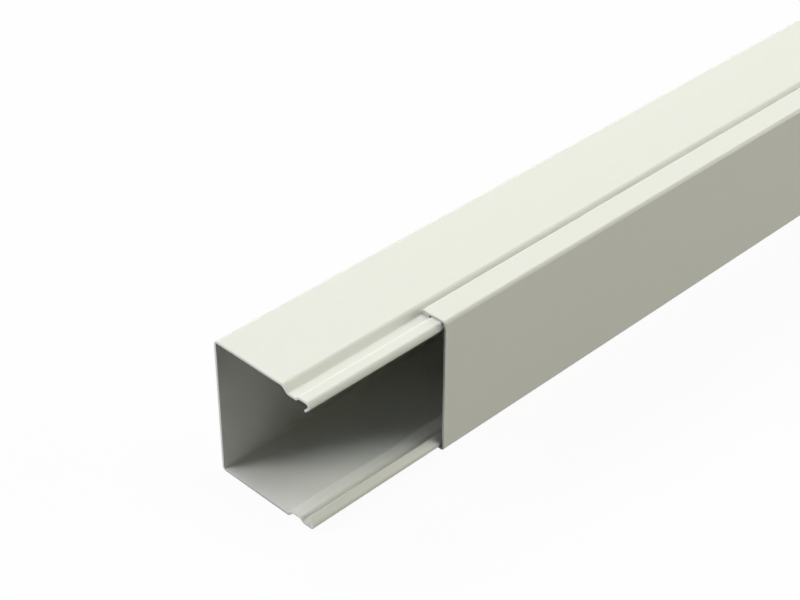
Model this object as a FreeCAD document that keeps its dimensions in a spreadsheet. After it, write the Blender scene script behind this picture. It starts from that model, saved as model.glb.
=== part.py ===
"""Cord cover raceway: a folded steel channel and the clip-on cover that slides along it.

The raceway lies on one side wall, as it is laid down on a floor. X runs along its length, with the
open end that the cover leaves bare at -X. The mouth and the cover face -Y, the wall that is fixed
to a building faces +Y, and Z is up. The origin is on the lower side face, in the middle of the
channel's length and of the closed raceway's depth. Sizes are in millimetres and degrees.
"""

import FreeCAD, Part
import os
from math import radians

import Sketcher

DRIVING_SIZES = {
    "channel_width": 60.0,         # across the two side walls, outside
    "channel_depth": 50.0,         # from the back wall's outer face to the front of the rims
    "channel_length": 2000.0,      # stock length of the channel
    "cover_length": 2000.0,        # stock length of the cover
    "cover_setback": 65.8,         # how far the cover is slid back from the channel's open end
    "channel_sheet": 1.0,          # sheet thickness of the channel
    "cover_sheet": 1.0,            # sheet thickness of the cover
    "corner_radius": 1.0,          # inside radius of the channel's two back corners
    "step_radius": 1.2,            # inside radius of the bends at the shoulder and the ridge
    "rim_radius": 0.85,            # inside radius of the rolled rim
    "cover_corner_radius": 0.5,    # inside radius of the cover's two corners
    "step_angle": 45.0,            # slope of the shoulder and of the ridge
    "rim_turn": 135.0,             # how far the rolled rim turns inwards
    "rim_flat": 3.1,               # straight run on top of the rim
    "lip_length": 2.45,            # straight run of the lip behind the rolled rim
    "groove_width": 3.25,          # open groove from the start of the shoulder to the cover's edge
    "hem_length": 3.9,             # width of the hem folded back inside the cover's edge
    "hem_lap": 0.4,                # how far the hem reaches over the ridge's first bend
    "hem_gap": 0.1,                # slit left inside the closed hem
    "hem_clearance": 0.3,          # under the hem, in the channel's recess
    "rim_clearance": 0.15,         # between the rim and the cover's leg
    "front_clearance": 0.15,       # between the rims and the cover's web
}

WORKED_OUT_SIZES = {
    "corner_outside": "=corner_radius + channel_sheet",
    "rim_outside": "=rim_radius + channel_sheet",
    "cover_corner_outside": "=cover_corner_radius + cover_sheet",
    "hem_radius": "=hem_gap / 2",
    "hem_outside": "=hem_radius + cover_sheet",
    "recess_drop": "=2 * cover_sheet + hem_gap + hem_clearance",
    "rim_drop": "=cover_sheet + rim_clearance",
    "step_radii": "=2 * step_radius + channel_sheet",
    "step_rise": "=step_radii * (1 - cos(step_angle))",
    "shoulder_run": "=(recess_drop - step_rise) / sin(step_angle)",
    "ridge_run": "=(recess_drop - rim_drop - step_rise) / sin(step_angle)",
    "shoulder_reach": "=step_radii * sin(step_angle) + shoulder_run * cos(step_angle)",
    "ridge_reach": "=step_radii * sin(step_angle) + ridge_run * cos(step_angle)",
    "hem_seat": "=hem_length - hem_lap",
    "clip_reach": "=hem_seat + ridge_reach + rim_flat + rim_outside",
    "recess_run": "=groove_width + hem_seat - shoulder_reach",
    "back_run": "=channel_width / 2 - corner_outside",
    "wall_run": "=channel_depth - corner_outside - groove_width - clip_reach",
    "cover_gap": "=front_clearance + cover_sheet",
    "closed_depth": "=channel_depth + cover_gap",
    "web_run": "=channel_width / 2 - cover_corner_outside",
    "leg_run": "=cover_gap + clip_reach - cover_corner_outside - hem_outside",
    "hem_run": "=hem_length - hem_outside",
}

# Each section is half of its sheet, as the runs and bends met on a walk along the outer face. A
# run gives its length, and a bend its angle, its inside radius and whether it turns inwards.
CHANNEL_FOLDS = (
    ("run", "back_run"),
    ("bend", 90, "corner_radius", True),
    ("run", "wall_run"),
    ("bend", "step_angle", "step_radius", True),
    ("run", "shoulder_run"),
    ("bend", "step_angle", "step_radius", False),
    ("run", "recess_run"),
    ("bend", "step_angle", "step_radius", False),
    ("run", "ridge_run"),
    ("bend", "step_angle", "step_radius", True),
    ("run", "rim_flat"),
    ("bend", "rim_turn", "rim_radius", True),
    ("run", "lip_length"),
)

COVER_FOLDS = (
    ("run", "web_run"),
    ("bend", 90, "cover_corner_radius", True),
    ("run", "leg_run"),
    ("bend", 180, "hem_radius", True),
    ("run", "hem_run"),
)

START, END, CENTRE = 1, 2, 3
ORIGIN = -1


def make_sheet(document):
    """Fill the spreadsheet with the driving sizes, and below them those worked out from them."""
    sheet = document.addObject("Spreadsheet::Sheet", "Sizes")
    cells = {**DRIVING_SIZES, **WORKED_OUT_SIZES}
    for row, (alias, content) in enumerate(cells.items(), start=1):
        sheet.set(f"A{row}", alias)
        sheet.set(f"B{row}", str(content))
        sheet.setAlias(f"B{row}", alias)
    document.recompute()
    return sheet


def direction(angle):
    """Return the unit vector at an angle, in degrees, in the sketch's plane."""
    turn = FreeCAD.Rotation(FreeCAD.Vector(0, 0, 1), angle)
    return turn.multVec(FreeCAD.Vector(1, 0, 0))


def origin_plane(body, role):
    """Return one of the body's own origin planes."""
    return next(plane for plane in body.Origin.OriginFeatures if plane.Role == role)


class FoldedSection:
    """Draws half of a folded sheet's section in a sketch, from its plane of symmetry outwards.

    The walk starts at the sketch's origin and goes straight up along the sheet's outer face. The
    inner face lies to its left where inner_side is 1, and to its right where it is -1.
    """

    def __init__(self, sketch, sheet, thickness, inner_side):
        self.sketch = sketch
        self.sheet = sheet
        self.thickness = thickness
        self.inner_side = inner_side
        self.point = FreeCAD.Vector()
        self.heading = 90

    def value(self, size):
        """Return a size as a number, where it is an alias, or else as it is."""
        return self.sheet.get(size) if isinstance(size, str) else size

    def constrain(self, kind, *where):
        """Add one constraint to the sketch and return its number."""
        return self.sketch.addConstraint(Sketcher.Constraint(kind, *where))

    def bind(self, kind, geometry, size):
        """Give a line or an arc a dimension, and bind it to its cell where the size is an alias."""
        value = self.value(size)
        index = self.constrain(kind, geometry, radians(value) if kind == "Angle" else value)
        if isinstance(size, str):
            name = f"{size}_{index}"
            self.sketch.renameConstraint(index, name)
            self.sketch.setExpression(f"Constraints.{name}", f"Sizes.{size}")

    def across(self):
        """Return the unit vector from the outer face to the inner face."""
        return direction(self.heading + 90 * self.inner_side)

    def add_run(self, length):
        """Draw a straight stretch of the sheet."""
        ahead = direction(self.heading) * self.value(length)
        step = self.across() * self.value(self.thickness)
        outer, inner = [
            self.sketch.addGeometry(Part.LineSegment(begin, begin + ahead), False)
            for begin in (self.point, self.point + step)
        ]
        self.bind("Distance", outer, length)
        self.constrain("Parallel", outer, inner)
        self.point += ahead
        return (outer, START, END), (inner, START, END)

    def add_bend(self, angle, radius, inward):
        """Draw a bend as two arcs about one centre."""
        sign = 1 if inward else -1
        inside = self.value(radius)
        outside = inside + self.value(self.thickness)
        outer_radius, inner_radius = (outside, inside) if inward else (inside, outside)
        centre = self.point + self.across() * sign * outer_radius
        turn = sign * self.inner_side * self.value(angle)
        before = self.heading - 90 * sign * self.inner_side
        after = before + turn
        outer, inner = [
            self.sketch.addGeometry(
                Part.ArcOfCircle(
                    Part.Circle(centre, FreeCAD.Vector(0, 0, 1), arc_radius),
                    radians(min(before, after)),
                    radians(max(before, after)),
                ),
                False,
            )
            for arc_radius in (outer_radius, inner_radius)
        ]
        self.bind("Radius", inner if inward else outer, radius)
        self.bind("Angle", outer, angle)
        self.constrain("Coincident", outer, CENTRE, inner, CENTRE)
        self.point = centre + direction(after) * outer_radius
        self.heading += turn
        ends = (START, END) if turn > 0 else (END, START)
        return (outer, *ends), (inner, *ends)

    def add_cut_edge(self, outer, outer_end, inner, inner_end):
        """Close the section with the sheet's cut edge, square to its two faces."""
        begin = self.sketch.getPoint(outer, outer_end)
        end = self.sketch.getPoint(inner, inner_end)
        edge = self.sketch.addGeometry(Part.LineSegment(begin, end), False)
        self.constrain("Coincident", edge, START, outer, outer_end)
        self.constrain("Coincident", edge, END, inner, inner_end)
        self.constrain("Perpendicular", edge, outer)
        return edge

    def draw(self, folds):
        """Draw every run and bend, each tangent to the one before, and close the section."""
        draw_fold = {"run": self.add_run, "bend": self.add_bend}
        chain = [draw_fold[kind](*sizes) for kind, *sizes in folds]
        for fold, following in zip(chain, chain[1:]):
            for (face, _, face_end), (next_face, next_start, _) in zip(fold, following):
                self.constrain("Tangent", face, face_end, next_face, next_start)
        (first_outer, *_), (first_inner, *_) = chain[0]
        (last_outer, *_), (last_inner, *_) = chain[-1]
        self.constrain("Coincident", first_outer, START, ORIGIN, START)
        self.constrain("Vertical", first_outer)
        self.bind("Distance", self.add_cut_edge(first_outer, START, first_inner, START),
                  self.thickness)
        self.add_cut_edge(last_outer, END, last_inner, END)


def make_folded_body(document, sheet, name, folds, thickness, length, inner_side):
    """Make a folded sheet: half its section, padded to its length and mirrored to its other half."""
    body = document.addObject("PartDesign::Body", name)
    body.Label = name
    sketch = body.newObject("Sketcher::SketchObject", f"{name}_section")
    sketch.AttachmentSupport = [(origin_plane(body, "YZ_Plane"), "")]
    sketch.MapMode = "FlatFace"
    FoldedSection(sketch, sheet, thickness, inner_side).draw(folds)
    pad = body.newObject("PartDesign::Pad", f"{name}_half")
    pad.Profile = sketch
    pad.SideType = "Symmetric"
    pad.setExpression("Length", f"Sizes.{length}")
    mirrored = body.newObject("PartDesign::Mirrored", f"{name}_whole")
    mirrored.Originals = [pad]
    mirrored.MirrorPlane = (origin_plane(body, "XY_Plane"), [""])
    body.Tip = mirrored
    body.setExpression("Placement.Base.z", "Sizes.channel_width / 2")
    return body


def make_channel(document, sheet):
    """Make the channel, with its back wall at +Y and its mouth towards -Y."""
    body = make_folded_body(document, sheet, "base_channel", CHANNEL_FOLDS, "channel_sheet",
                            "channel_length", inner_side=1)
    body.setExpression("Placement.Base.y", "Sizes.closed_depth / 2")
    return body


def make_cover(document, sheet):
    """Make the cover, clipped over the channel's rims and slid back from its open end."""
    body = make_folded_body(document, sheet, "clip_cover", COVER_FOLDS, "cover_sheet",
                            "cover_length", inner_side=-1)
    body.setExpression("Placement.Base.y", "-Sizes.closed_depth / 2")
    body.setExpression("Placement.Base.x",
                       "Sizes.cover_setback + (Sizes.cover_length - Sizes.channel_length) / 2")
    return body


def check_document(document, bodies):
    """Stop if any feature failed, or if a body isn't one valid solid."""
    for feature in document.Objects:
        if "Invalid" in feature.State or "Error" in feature.State:
            raise RuntimeError(f"{feature.Label} failed to recompute")
    for body in bodies:
        if body.Shape.isNull() or not body.Shape.isValid() or len(body.Shape.Solids) != 1:
            raise RuntimeError(f"{body.Label} isn't one valid solid")


def main():
    """Build the raceway and write each sub-part to its own file."""
    document = FreeCAD.newDocument("Raceway")
    sheet = make_sheet(document)
    bodies = [make_channel(document, sheet), make_cover(document, sheet)]
    document.recompute()
    check_document(document, bodies)
    os.makedirs("parts", exist_ok=True)
    for body in bodies:
        body.Shape.exportStep(f"parts/{body.Label}.step")
        print(body.Label, round(body.Shape.Volume), "mm3", body.Shape.BoundBox)


main()
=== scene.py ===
"""Looks of a cord cover raceway: a folded steel channel and the clip-on cover that slides on it.

Both pieces are folded here from flat strips, as on a roll-forming line, with smooth bends and
deburred cut edges, and stand for the plain solids of the frame. X runs along the raceway, with the
open end at -X, the mouth and the cover face -Y, and Z is up. Sizes are in metres and degrees.
"""

import logging
import math
from abc import ABC, abstractmethod
from dataclasses import dataclass, field
from enum import Enum

import bpy
from mathutils import Matrix, Vector


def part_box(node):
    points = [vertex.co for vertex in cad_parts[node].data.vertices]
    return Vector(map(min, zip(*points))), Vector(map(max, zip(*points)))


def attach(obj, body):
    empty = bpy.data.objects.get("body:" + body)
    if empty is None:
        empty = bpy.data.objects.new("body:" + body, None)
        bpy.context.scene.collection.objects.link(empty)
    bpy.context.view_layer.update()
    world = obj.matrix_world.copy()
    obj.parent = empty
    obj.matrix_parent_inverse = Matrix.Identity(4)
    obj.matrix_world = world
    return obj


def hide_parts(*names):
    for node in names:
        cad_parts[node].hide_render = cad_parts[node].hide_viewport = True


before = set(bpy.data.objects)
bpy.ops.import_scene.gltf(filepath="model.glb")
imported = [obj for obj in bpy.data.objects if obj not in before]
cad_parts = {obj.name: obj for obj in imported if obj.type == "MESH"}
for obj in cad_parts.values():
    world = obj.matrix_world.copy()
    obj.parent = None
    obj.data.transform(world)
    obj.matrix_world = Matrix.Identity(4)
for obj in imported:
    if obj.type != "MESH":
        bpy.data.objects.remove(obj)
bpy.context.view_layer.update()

LOG = logging.getLogger("raceway")
MM = 0.001
RIGHT_ANGLE = 90.0
ALONG_X = (1.0, 0.0, 0.0)
INNER_SIDE = -1.0

Node = bpy.types.Node
Socket = bpy.types.NodeSocket
NodeOwner = bpy.types.Material | bpy.types.World
Place = tuple[float, float, float]
Colour = tuple[float, float, float]
Paint = tuple[float, float, float, float]

WHITE: Paint = (1.0, 1.0, 1.0, 1.0)
WHITE_GLOW = 1.0
NO_GLOW = 0.0


class BendWay(Enum):
    """Which way a bend turns the walk along the sheet's outer face."""

    INWARD = 1
    OUTWARD = -1


class Surface(Enum):
    """The material index of each kind of surface on a folded sheet."""

    COAT = 0
    CUT_EDGE = 1


@dataclass(frozen=True)
class Run:
    """A flat stretch of the sheet."""

    length: float


@dataclass(frozen=True)
class Bend:
    """A bend of the sheet, with its inside radius."""

    angle: float
    radius: float
    way: BendWay = BendWay.INWARD


@dataclass(frozen=True)
class ClipSizes:
    """The sizes that the channel's ridges and the cover's hems share."""

    channel_sheet: float = 1.0 * MM
    cover_sheet: float = 1.0 * MM
    step_radius: float = 1.2 * MM
    step_angle: float = 45.0
    rim_radius: float = 0.85 * MM
    rim_flat: float = 3.1 * MM
    groove_width: float = 3.25 * MM
    hem_length: float = 3.9 * MM
    hem_lap: float = 0.4 * MM
    hem_gap: float = 0.1 * MM
    hem_clearance: float = 0.3 * MM
    rim_clearance: float = 0.15 * MM

    @property
    def recess_drop(self) -> float:
        """Depth of the recess that the cover's hem lies in."""
        return 2 * self.cover_sheet + self.hem_gap + self.hem_clearance

    @property
    def rim_drop(self) -> float:
        """How far the rim lies under the side wall's outer face."""
        return self.cover_sheet + self.rim_clearance

    @property
    def step_radii(self) -> float:
        """Sum of the two bend radii that a step's outer face has."""
        return 2 * self.step_radius + self.channel_sheet

    @property
    def hem_seat(self) -> float:
        """Depth from the cover's edge to the start of the ridge's first bend."""
        return self.hem_length - self.hem_lap

    @property
    def clip_reach(self) -> float:
        """Work out how deep the clip is.

        Returns:
            The depth from the cover's edge to the front of the channel's rim.
        """
        ridge_rise = self.recess_drop - self.rim_drop
        rim_outside = self.rim_radius + self.channel_sheet
        return self.hem_seat + self.step_reach(ridge_rise) + self.rim_flat + rim_outside

    def step_run(self, rise: float) -> float:
        """Return the flat stretch between a step's two bends."""
        slope = math.radians(self.step_angle)
        return (rise - self.step_radii * (1 - math.cos(slope))) / math.sin(slope)

    def step_reach(self, rise: float) -> float:
        """Return the depth from the start of a step's first bend to the end of its second."""
        slope = math.radians(self.step_angle)
        return self.step_radii * math.sin(slope) + self.step_run(rise) * math.cos(slope)


@dataclass
class FoldedSheet(ABC):
    """A strip of sheet folded to a section that is the same above and below its middle.

    The section is walked along the outer face, from the middle of the width upwards. The inner
    face lies towards +Y of the walk's start where inward_y is 1, and towards -Y where it is -1.
    """

    node: str
    body: str
    thickness: float
    inward_y: int
    slot: str = "cream_powder_coat"
    clip: ClipSizes = field(default_factory=ClipSizes)
    degrees_per_facet: float = 5.0
    fewest_facets: int = 2
    deburr: float = 0.1 * MM
    deburr_segments: int = 2
    sharp_angle: float = 40.0
    merge_distance: float = 0.001 * MM

    def __post_init__(self) -> None:
        """Read the piece's place from the frame."""
        self.low, self.high = (Vector(corner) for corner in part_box(self.node))
        self.middle_z = (self.low.z + self.high.z) / 2
        self.half_width = (self.high.z - self.low.z) / 2
        self.depth = self.high.y - self.low.y
        self.point = Vector((0, self.start_y, self.middle_z))
        self.heading = RIGHT_ANGLE

    @property
    def start_y(self) -> float:
        """Depth of the outer face where the walk starts."""
        return self.low.y if self.inward_y > 0 else self.high.y

    @abstractmethod
    def folds(self) -> list[Run | Bend]:
        """Return the runs and bends of half the section, in the order of the walk."""

    def build(self, finishes: dict[Surface, bpy.types.Material]) -> bpy.types.Object:
        """Fold the piece from a flat strip.

        Args:
            finishes: The material of each kind of surface.

        Returns:
            The finished mesh object, with its place in its mesh.
        """
        first, *others = self.folds()
        piece = self.add_strip(first)
        # A modifier falls back to the first material where a piece has no slot for its own.
        for surface in Surface:
            piece.data.materials.append(finishes[surface])
        bpy.ops.object.mode_set(mode="EDIT")
        for fold in others:
            if isinstance(fold, Run):
                self.extrude_run(fold)
            else:
                self.spin_bend(fold)
        bpy.ops.object.mode_set(mode="OBJECT")
        self.mirror_to_whole(piece)
        self.face_outwards(piece)
        self.thicken(piece)
        self.soften_edges(piece)
        return piece

    def ahead(self, turn: float = 0.0) -> Vector:
        """Return the unit vector at an angle to the walk's heading, in the section's plane."""
        angle = math.radians(self.heading + turn)
        return Vector((0, math.cos(angle), math.sin(angle)))

    def add_strip(self, run: Run) -> bpy.types.Object:
        """Add the first flat of the sheet as a plane, with its upper edge selected.

        Args:
            run: The flat from the middle of the width upwards.

        Returns:
            The new mesh object, with its origin in the middle of the width.
        """
        bpy.ops.object.select_all(action="DESELECT")
        length = self.high.x - self.low.x
        centre = Vector(((self.low.x + self.high.x) / 2, self.start_y, self.middle_z))
        bpy.ops.mesh.primitive_plane_add(size=1, location=centre + self.ahead() * run.length / 2,
                                         rotation=(math.radians(RIGHT_ANGLE), 0, 0))
        strip = bpy.context.object
        strip.name = strip.data.name = f"{self.node}_folded"
        strip.scale = (length, run.length, 1)
        bpy.ops.object.transform_apply(location=True, rotation=True, scale=True)
        strip.data.transform(Matrix.Translation((0, 0, -self.middle_z)))
        strip.location.z = self.middle_z
        self.point += self.ahead() * run.length
        bpy.ops.object.mode_set(mode="EDIT")
        bpy.ops.mesh.select_mode(type="VERT")
        bpy.ops.mesh.select_all(action="DESELECT")
        bpy.ops.object.mode_set(mode="OBJECT")
        for vertex in strip.data.vertices:
            vertex.select = vertex.co.z > run.length / 2
        return strip

    def extrude_run(self, run: Run) -> None:
        """Extrude the selected edge straight ahead.

        Args:
            run: The flat to add to the strip.
        """
        step = self.ahead() * run.length
        bpy.ops.mesh.extrude_region_move(TRANSFORM_OT_translate={"value": step})
        self.point += step

    def spin_bend(self, bend: Bend) -> None:
        """Spin the selected edge about the bend's centre, so that the sheet curves.

        Args:
            bend: The bend to add to the strip.
        """
        turn_way = -self.inward_y * bend.way.value
        outer_radius = bend.radius + (self.thickness if bend.way is BendWay.INWARD else 0)
        centre = self.point + self.ahead(RIGHT_ANGLE * turn_way) * outer_radius
        bpy.ops.mesh.spin(
            steps=max(self.fewest_facets, round(bend.angle / self.degrees_per_facet)),
            angle=math.radians(-turn_way * bend.angle),
            center=centre,
            axis=ALONG_X,
        )
        self.heading += turn_way * bend.angle
        self.point = centre + self.ahead(-RIGHT_ANGLE * turn_way) * outer_radius

    def mirror_to_whole(self, piece: bpy.types.Object) -> None:
        """Mirror the upper half of the section to the lower half and merge them.

        Args:
            piece: The folded upper half, with its origin in the middle of the width.
        """
        mirror = piece.modifiers.new("whole_section", "MIRROR")
        mirror.use_axis = (False, False, True)
        mirror.merge_threshold = self.merge_distance
        bpy.ops.object.modifier_apply(modifier=mirror.name)
        bpy.ops.object.transform_apply(location=True)

    def face_outwards(self, piece: bpy.types.Object) -> None:
        """Merge doubles and turn every face of the still open sheet to its outer side.

        Args:
            piece: The folded sheet, with no thickness yet.
        """
        bpy.ops.object.mode_set(mode="EDIT")
        bpy.ops.mesh.select_all(action="SELECT")
        bpy.ops.mesh.remove_doubles(threshold=self.merge_distance)
        bpy.ops.mesh.normals_make_consistent(inside=False)
        bpy.ops.object.mode_set(mode="OBJECT")
        widest = max(piece.data.polygons, key=lambda face: face.area * abs(face.normal.y))
        if widest.normal.y * self.inward_y > 0:
            bpy.ops.object.mode_set(mode="EDIT")
            bpy.ops.mesh.select_all(action="SELECT")
            bpy.ops.mesh.flip_normals()
            bpy.ops.object.mode_set(mode="OBJECT")

    def thicken(self, piece: bpy.types.Object) -> None:
        """Give the sheet its thickness on the inner side, with cut edges of their own finish.

        Args:
            piece: The folded sheet, with its faces turned to the outer side.
        """
        wall = piece.modifiers.new("sheet_thickness", "SOLIDIFY")
        wall.thickness = self.thickness
        wall.offset = INNER_SIDE
        wall.use_even_offset = True
        wall.use_quality_normals = True
        wall.material_offset_rim = Surface.CUT_EDGE.value
        bpy.ops.object.modifier_apply(modifier=wall.name)

    def soften_edges(self, piece: bpy.types.Object) -> None:
        """Deburr the cut edges, smooth the bends and keep the flats flat.

        Args:
            piece: The folded sheet with its thickness.
        """
        burr = piece.modifiers.new("deburred_edges", "BEVEL")
        burr.width = self.deburr
        burr.segments = self.deburr_segments
        burr.limit_method = "ANGLE"
        burr.angle_limit = math.radians(self.sharp_angle)
        burr.material = Surface.CUT_EDGE.value
        burr.use_clamp_overlap = False
        bpy.ops.object.modifier_apply(modifier=burr.name)
        bpy.ops.object.shade_smooth_by_angle(angle=math.radians(self.sharp_angle))
        flats = piece.modifiers.new("flat_walls", "WEIGHTED_NORMAL")
        flats.keep_sharp = True
        bpy.ops.object.modifier_apply(modifier=flats.name)

    def dress(self, piece: bpy.types.Object) -> None:
        """Give the piece its place in the frame and report it.

        Args:
            piece: The finished mesh object.
        """
        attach(piece, self.body)
        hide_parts(self.node)
        LOG.info("%s: %d faces", piece.name, len(piece.data.polygons))


@dataclass
class BaseChannel(FoldedSheet):
    """The channel, with a shoulder, a recess and a ridge with a rolled rim on each side wall."""

    node: str = "base_channel"
    body: str = "channel"
    thickness: float = ClipSizes.channel_sheet
    inward_y: int = -1
    corner_radius: float = 1.0 * MM
    rim_turn: float = 135.0
    lip_length: float = 2.45 * MM

    def folds(self) -> list[Run | Bend]:
        """List the folds from the middle of the back wall to the lip.

        Returns:
            The runs and bends, in the order of the walk.
        """
        clip = self.clip
        corner_outside = self.corner_radius + self.thickness
        ridge_rise = clip.recess_drop - clip.rim_drop
        recess_run = clip.groove_width + clip.hem_seat - clip.step_reach(clip.recess_drop)
        wall_run = self.depth - corner_outside - clip.groove_width - clip.clip_reach
        step_in = Bend(clip.step_angle, clip.step_radius)
        step_out = Bend(clip.step_angle, clip.step_radius, BendWay.OUTWARD)
        return [
            Run(self.half_width - corner_outside),
            Bend(RIGHT_ANGLE, self.corner_radius),
            Run(wall_run),
            step_in,
            Run(clip.step_run(clip.recess_drop)),
            step_out,
            Run(recess_run),
            step_out,
            Run(clip.step_run(ridge_rise)),
            step_in,
            Run(clip.rim_flat),
            Bend(self.rim_turn, clip.rim_radius),
            Run(self.lip_length),
        ]


@dataclass
class ClipCover(FoldedSheet):
    """The cover, with a leg on each side that ends in a hem folded back inwards."""

    node: str = "clip_cover"
    body: str = "cover"
    thickness: float = ClipSizes.cover_sheet
    inward_y: int = 1
    corner_radius: float = 0.5 * MM
    hem_turn: float = 180.0

    def folds(self) -> list[Run | Bend]:
        """List the folds from the middle of the web to the hem's edge.

        Returns:
            The runs and bends, in the order of the walk.
        """
        corner_outside = self.corner_radius + self.thickness
        hem_radius = self.clip.hem_gap / 2
        hem_outside = hem_radius + self.thickness
        return [
            Run(self.half_width - corner_outside),
            Bend(RIGHT_ANGLE, self.corner_radius),
            Run(self.depth - corner_outside - hem_outside),
            Bend(self.hem_turn, hem_radius),
            Run(self.clip.hem_length - hem_outside),
        ]


class Shader:
    """The nodes of a material or of the world, in the making."""

    # The two ends that most of a noise pattern lies between.
    NOISE_LOW = 0.3
    NOISE_HIGH = 0.7

    def __init__(self, made: NodeOwner, output: str = "OutputMaterial") -> None:
        """Empty the nodes and add the output.

        Args:
            made: The material or the world that has the nodes.
            output: The output node's type, without the ShaderNode that starts it.
        """
        self.made = made
        made.use_nodes = True
        self.tree = made.node_tree
        self.tree.nodes.clear()
        self.output = self.add(output)

    def add(self, kind: str, **inputs: object) -> Node:
        """Add a node and set or link its inputs.

        Args:
            kind: The node's type, without the ShaderNode that starts it.
            inputs: A value or an output socket for each input, by its name with underscores.

        Returns:
            The new node.
        """
        node = self.tree.nodes.new(f"ShaderNode{kind}")
        for name, value in inputs.items():
            socket = node.inputs[name.replace("_", " ")]
            if isinstance(value, Socket):
                self.tree.links.new(value, socket)
            else:
                socket.default_value = value
        return node

    def place(self, stretch: Place = (1, 1, 1)) -> Socket:
        """Give a pattern the piece's own coordinates.

        Args:
            stretch: How many times each axis is stretched.

        Returns:
            The stretched coordinates.
        """
        mapping = self.add("Mapping", Vector=self.add("TexCoord").outputs["Object"])
        mapping.inputs["Scale"].default_value = stretch
        return mapping.outputs["Vector"]

    def noise(self, size: float, where: Socket, detail: float = 2.0) -> Socket:
        """Return a noise pattern whose blotches have a size in metres."""
        pattern = self.add("TexNoise", Vector=where, Scale=1 / size, Detail=detail)
        return pattern.outputs["Fac"]

    def spread(self, pattern: Socket, low: float, high: float) -> Socket:
        """Return the pattern as a value between two ends."""
        spread = self.add("MapRange", Value=pattern, From_Min=self.NOISE_LOW,
                          From_Max=self.NOISE_HIGH, To_Min=low, To_Max=high)
        return spread.outputs["Result"]

    def vary(self, pattern: Socket, depth: float) -> Socket:
        """Return the pattern as a factor that goes below and above 1 by the same depth."""
        return self.spread(pattern, 1 - depth, 1 + depth)

    def tint(self, colour: Colour, factor: Socket) -> Socket:
        """Make a colour lighter or darker.

        Args:
            colour: The colour where the factor is 1.
            factor: What the colour is multiplied by.

        Returns:
            The new colour.
        """
        scaled = self.add("VectorMath")
        scaled.operation = "SCALE"
        scaled.inputs[0].default_value = colour
        self.tree.links.new(factor, scaled.inputs["Scale"])
        return scaled.outputs["Vector"]

    def work_out(self, operation: str, one: Socket, other: Socket) -> Socket:
        """Combine two values.

        Args:
            operation: The Math node's operation.
            one: The first value.
            other: The second value.

        Returns:
            What the operation makes of them.
        """
        result = self.add("Math")
        result.operation = operation
        self.tree.links.new(one, result.inputs[0])
        self.tree.links.new(other, result.inputs[1])
        return result.outputs["Value"]

    def painted_occlusion_shade(self, reach: float, deepest: float) -> Socket:
        """Return a painted-shade factor from ambient occlusion: it falls to deepest where surfaces
        within reach close a place in.
        """
        openness = self.add("AmbientOcclusion", Distance=reach).outputs["AO"]
        return self.add("MapRange", Value=openness, To_Min=deepest, To_Max=1.0).outputs["Result"]

    def bump(self, pattern: Socket, height: float) -> Socket:
        """Return normals bumped by the pattern, with its height in metres."""
        return self.add("Bump", Height=pattern, Distance=height).outputs["Normal"]

    def mix(self, factor: float | Socket, one: Node, other: Node) -> Node:
        """Mix two shaders.

        Args:
            factor: The share of the other shader.
            one: The shader at a factor of 0.
            other: The shader at a factor of 1.

        Returns:
            The mix.
        """
        mixed = self.add("MixShader", Fac=factor)
        for index, shader in enumerate((one, other), start=1):
            self.tree.links.new(shader.outputs[0], mixed.inputs[index])
        return mixed

    def where_seen(self, unseen: Node, seen: Node) -> Node:
        """Give light one shader and the eye another.

        Args:
            unseen: The shader that lights other surfaces.
            seen: The shader that the camera, reflections and see-through pieces show.

        Returns:
            The mix of the two.
        """
        path = self.add("LightPath")
        looked_at = path.outputs["Is Camera Ray"]
        for ray in ("Is Glossy Ray", "Is Transmission Ray"):
            looked_at = self.work_out("MAXIMUM", looked_at, path.outputs[ray])
        return self.mix(looked_at, unseen, seen)

    def finish(self, surface: Node) -> NodeOwner:
        """Connect the surface to the output and return what has the nodes."""
        self.tree.links.new(surface.outputs[0], self.output.inputs["Surface"])
        return self.made


@dataclass(frozen=True)
class PowderCoat:
    """A smooth satin powder coat, with the faint orange peel and shading that such a coat has."""

    name: str = "satin_cream_coat"
    colour: Colour = (0.80, 0.81, 0.73)
    shade_size: float = 0.3
    shade_depth: float = 0.008
    mottle_size: float = 3 * MM
    mottle_detail: float = 4.0
    mottle_depth: float = 0.006
    gloss_size: float = 6 * MM
    roughness_low: float = 0.36
    roughness_high: float = 0.44
    peel_size: float = 1.4 * MM
    peel_height: float = 0.002 * MM
    ior: float = 1.35

    def material(self) -> bpy.types.Material:
        """Make the coat.

        Returns:
            The coat as a material.
        """
        shader = Shader(bpy.data.materials.new(self.name))
        where = shader.place()
        shade = shader.vary(shader.noise(self.shade_size, where), self.shade_depth)
        mottle = shader.vary(shader.noise(self.mottle_size, where, self.mottle_detail),
                             self.mottle_depth)
        roughness = shader.spread(shader.noise(self.gloss_size, where),
                                  self.roughness_low, self.roughness_high)
        surface = shader.add(
            "BsdfPrincipled",
            Base_Color=shader.tint(self.colour, shader.work_out("MULTIPLY", shade, mottle)),
            Roughness=roughness,
            IOR=self.ior,
            Normal=shader.bump(shader.noise(self.peel_size, where), self.peel_height),
        )
        return shader.finish(surface)


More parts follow.
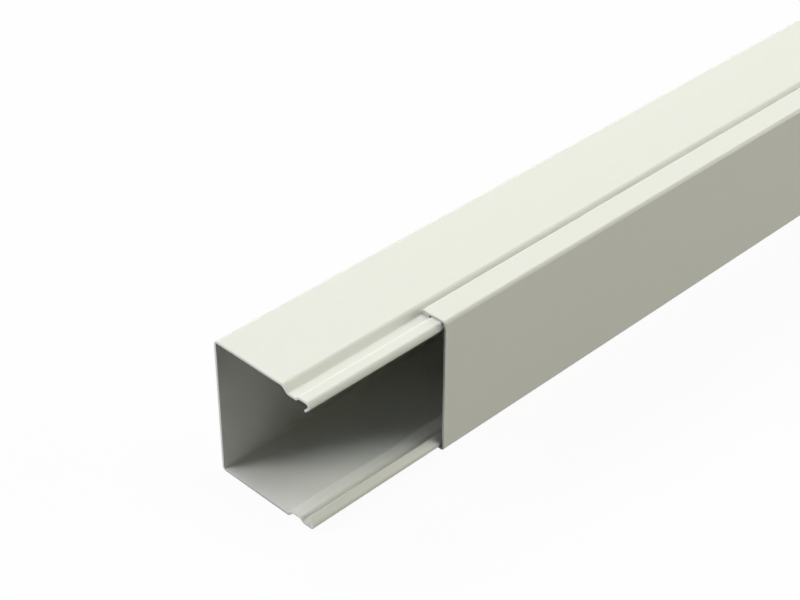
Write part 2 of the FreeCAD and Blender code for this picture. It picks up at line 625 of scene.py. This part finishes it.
@dataclass(frozen=True)
class CutEdge:
    """The sheared edge of the sheet: bare steel with shear marks, and painted shade that darkens
    its colour where nearby surfaces close it in.
    """

    name: str = "sheared_steel_edge"
    colour: Colour = (0.71, 0.73, 0.68)
    metallic: float = 0.25
    shade_depth: float = 0.12
    mark_size: float = 0.25 * MM
    mark_stretch: float = 6.0
    mark_detail: float = 5.0
    mark_height: float = 0.01 * MM
    roughness_low: float = 0.42
    roughness_high: float = 0.6
    painted_shade_reach: float = 3 * MM
    painted_shade_darkest: float = 0.12

    def material(self) -> bpy.types.Material:
        """Make the cut edge.

        Returns:
            The cut edge as a material.
        """
        shader = Shader(bpy.data.materials.new(self.name))
        where = shader.place((1, self.mark_stretch, 1))
        marks = shader.noise(self.mark_size, where, self.mark_detail)
        grain = shader.vary(marks, self.shade_depth)
        # Painted shade: ambient occlusion darkens the edge's colour where other surfaces are near.
        painted_occlusion_shade = shader.painted_occlusion_shade(self.painted_shade_reach, self.painted_shade_darkest)
        surface = shader.add(
            "BsdfPrincipled",
            Base_Color=shader.tint(self.colour, shader.work_out("MULTIPLY", grain, painted_occlusion_shade)),
            Metallic=self.metallic,
            Roughness=shader.spread(marks, self.roughness_low, self.roughness_high),
            Normal=shader.bump(marks, self.mark_height),
        )
        return shader.finish(surface)


@dataclass(frozen=True)
class SoftLamp:
    """A broad lamp far away, placed by the direction that its light comes from."""

    name: str
    azimuth: float
    elevation: float
    strength: float
    colour: Colour
    breadth: float = 30.0

    def add(self) -> bpy.types.Object:
        """Add the lamp and turn it to shine from its direction.

        Returns:
            The new lamp object.
        """
        light = bpy.data.lights.new(self.name, "SUN")
        light.energy = self.strength
        light.angle = math.radians(self.breadth)
        light.color = self.colour
        lamp = bpy.data.objects.new(self.name, light)
        from_level = math.radians(RIGHT_ANGLE - self.elevation)
        lamp.rotation_euler = (from_level, 0, math.radians(self.azimuth))
        bpy.context.collection.objects.link(lamp)
        return lamp


@dataclass(frozen=True)
class Camera:
    """The camera, at the place and angle that the photograph's straight edges give."""

    place: Place = (-1.3270, -0.3939, 0.4506)
    azimuth: float = -45.08
    elevation: float = 35.27
    roll: float = 0.076
    lens: float = 83.26
    sensor: float = 36.0
    nearest: float = 0.01
    farthest: float = 100.0

    def add(self) -> bpy.types.Object:
        """Add the camera and make it the scene's own.

        Returns:
            The new camera object.
        """
        data = bpy.data.cameras.new("camera")
        data.lens = self.lens
        data.sensor_width = self.sensor
        data.clip_start = self.nearest
        data.clip_end = self.farthest
        camera = bpy.data.objects.new("camera", data)
        turn = self.rotation(self.azimuth, "Z")
        tilt = self.rotation(RIGHT_ANGLE - self.elevation, "X")
        lean = self.rotation(self.roll, "Z")
        camera.matrix_world = Matrix.Translation(self.place) @ turn @ tilt @ lean
        bpy.context.collection.objects.link(camera)
        bpy.context.scene.camera = camera
        return camera

    def rotation(self, angle: float, axis: str) -> Matrix:
        """Return a turn about an axis, as a matrix that can hold a place too."""
        return Matrix.Rotation(math.radians(angle), 4, axis)


@dataclass(frozen=True)
class Studio:
    """A plain pale floor in an even white room, with broad soft lamps."""

    lamps: tuple[SoftLamp, ...] = (
        SoftLamp("left_key", -130, 26, strength=2.0, colour=(0.985, 0.98, 1.0)),
        SoftLamp("low_left_lamp", -110, 26, strength=0.22, colour=(0.67, 0.68, 1.0)),
        SoftLamp("back_key", -168, 44, strength=0.95, colour=(0.87, 0.86, 1.0)),
        SoftLamp("back_right_lamp", 150, 44, strength=0.45, colour=(1.0, 0.98, 0.85)),
        SoftLamp("low_back_right_lamp", 130, 26, strength=0.29, colour=(0.93, 1.0, 0.73)),
        SoftLamp("right_grazing_lamp", 66, 8, strength=2.23, colour=(1.0, 0.98, 0.8), breadth=34),
        SoftLamp("front_grazing_lamp", 50, 8, strength=0.64, colour=(0.93, 0.9, 1.0)),
        SoftLamp("front_right_lamp", 50, 62, strength=0.75, colour=(0.96, 1.0, 0.97)),
    )
    floor_size: float = 60.0
    floor_colour: Paint = (0.12, 0.12, 0.12, 1.0)
    seen_floor_colour: Paint = (0.9, 0.9, 0.9, 1.0)
    floor_glow: float = 0.94

    def build(self) -> None:
        """Add the floor, the room and the lamps."""
        self.add_floor()
        self.add_room()
        for lamp in self.lamps:
            lamp.add()

    def add_floor(self) -> None:
        """Add a floor that is seen white, with the raceway's soft shadow on it."""
        bpy.ops.object.select_all(action="DESELECT")
        bpy.ops.mesh.primitive_plane_add(size=self.floor_size)
        floor = bpy.context.object
        floor.name = "floor"
        shader = Shader(bpy.data.materials.new("pale_floor"))
        seen = shader.mix(self.floor_glow, shader.add("BsdfDiffuse", Color=self.seen_floor_colour),
                          shader.add("Emission", Strength=WHITE_GLOW))
        unseen = shader.add("BsdfDiffuse", Color=self.floor_colour)
        floor.data.materials.append(shader.finish(shader.where_seen(unseen, seen)))

    def add_room(self) -> None:
        """Add a room that gives no light of its own, and is seen white."""
        room = bpy.data.worlds.new("white_room")
        bpy.context.scene.world = room
        shader = Shader(room, "OutputWorld")
        unseen = shader.add("Background", Strength=NO_GLOW)
        seen = shader.add("Background", Strength=WHITE_GLOW, Color=WHITE)
        shader.finish(shader.where_seen(unseen, seen))


def make_finishes() -> dict[Surface, bpy.types.Material]:
    """Return the material of each kind of surface."""
    return {Surface.COAT: PowderCoat().material(), Surface.CUT_EDGE: CutEdge().material()}


def main() -> None:
    """Build the camera, the studio and both pieces of the raceway."""
    logging.basicConfig(level=logging.INFO, format="%(name)s: %(message)s")
    bpy.context.scene.view_settings.view_transform = "Standard"
    Camera().add()
    Studio().build()
    finishes = make_finishes()
    for sheet in (BaseChannel(), ClipCover()):
        sheet.dress(sheet.build(finishes))


if __name__ == "__main__":
    main()
